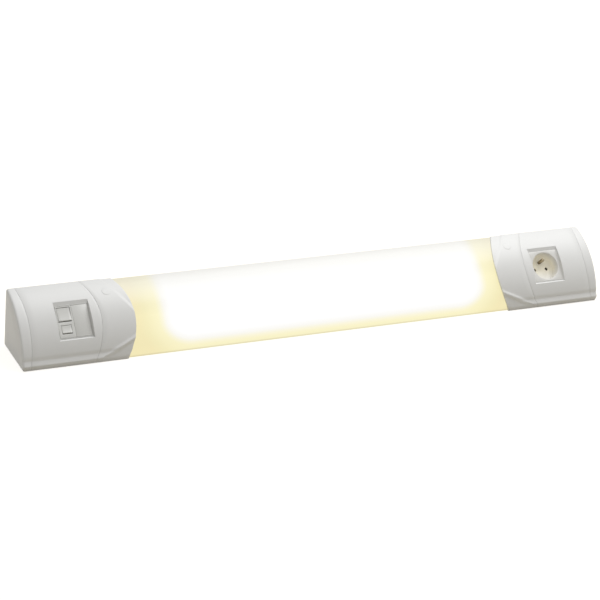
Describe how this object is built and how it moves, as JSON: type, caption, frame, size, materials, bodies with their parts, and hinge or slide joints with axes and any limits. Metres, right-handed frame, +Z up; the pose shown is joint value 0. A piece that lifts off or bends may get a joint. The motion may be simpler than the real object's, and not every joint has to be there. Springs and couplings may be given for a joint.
{
  "type": "wall light with socket",
  "caption": "Slim fluorescent wall light with bowed collars, rocker switches in one end box and a mains socket with earth pin in the other.",
  "frame": {"origin": "on the wall plane, midway between the two wall screw slots", "axes": "+X along the fitting towards the socket end, +Y into the wall, +Z up"},
  "size_m": [0.855, 0.08, 0.0818],
  "materials": {
    "chassis_steel": "satin white powder coat",
    "grommet_rubber": "matt",
    "inner_plastic": "moulded, fine matt",
    "ballast_case": "moulded, fine matt",
    "screw_steel": "zinc plated",
    "reflector_white": "gloss white enamel",
    "bracket_steel": "satin white powder coat",
    "tube_glass": "white coated, metal end caps",
    "diffuser_opal": "opal, satin",
    "cover_plastic": "moulded, satin",
    "module_plastic": "moulded, low gloss",
    "contact_brass": "drawn"
  },
  "bodies": {
    "fitting": {"back_chassis": "chassis_steel", "cable_grommet": "grommet_rubber", "terminal_block": "inner_plastic", "ballast": "ballast_case", "gear_screws": "screw_steel", "reflector": "reflector_white", "left_lamp_bracket": "bracket_steel", "right_lamp_bracket": "bracket_steel", "left_lampholder": "inner_plastic", "right_lampholder": "inner_plastic", "fluorescent_tube": "tube_glass", "diffuser": "diffuser_opal", "left_collar": "cover_plastic", "right_collar": "cover_plastic", "collar_screws": "screw_steel", "left_screw_plug": "cover_plastic", "right_screw_plug": "cover_plastic", "switch_housing": "cover_plastic", "socket_housing": "cover_plastic", "left_end_cap": "cover_plastic", "right_end_cap": "cover_plastic", "end_cap_screws": "screw_steel", "switch_frame": "module_plastic", "switch_body": "inner_plastic", "switch_cover": "module_plastic", "blank_plate": "module_plastic", "socket_insert": "module_plastic", "socket_body": "inner_plastic", "live_contact": "contact_brass", "neutral_contact": "contact_brass", "earth_pin": "contact_brass", "module_screws": "screw_steel"},
    "upper_rocker": {"upper_rocker": "module_plastic"},
    "lower_rocker": {"lower_rocker": "module_plastic"}
  },
  "joints": [
    {"name": "upper_rocker_pivot", "type": "hinge", "parent": "fitting", "child": "upper_rocker", "pos_m": [-0.363, -0.04006, 0.01645], "axis": [1, 0, 0], "range_deg": [0, 12]},
    {"name": "lower_rocker_pivot", "type": "hinge", "parent": "fitting", "child": "lower_rocker", "pos_m": [-0.363, -0.05416, 0.00185], "axis": [1, 0, 0], "range_deg": [0, 12]}
  ]
}
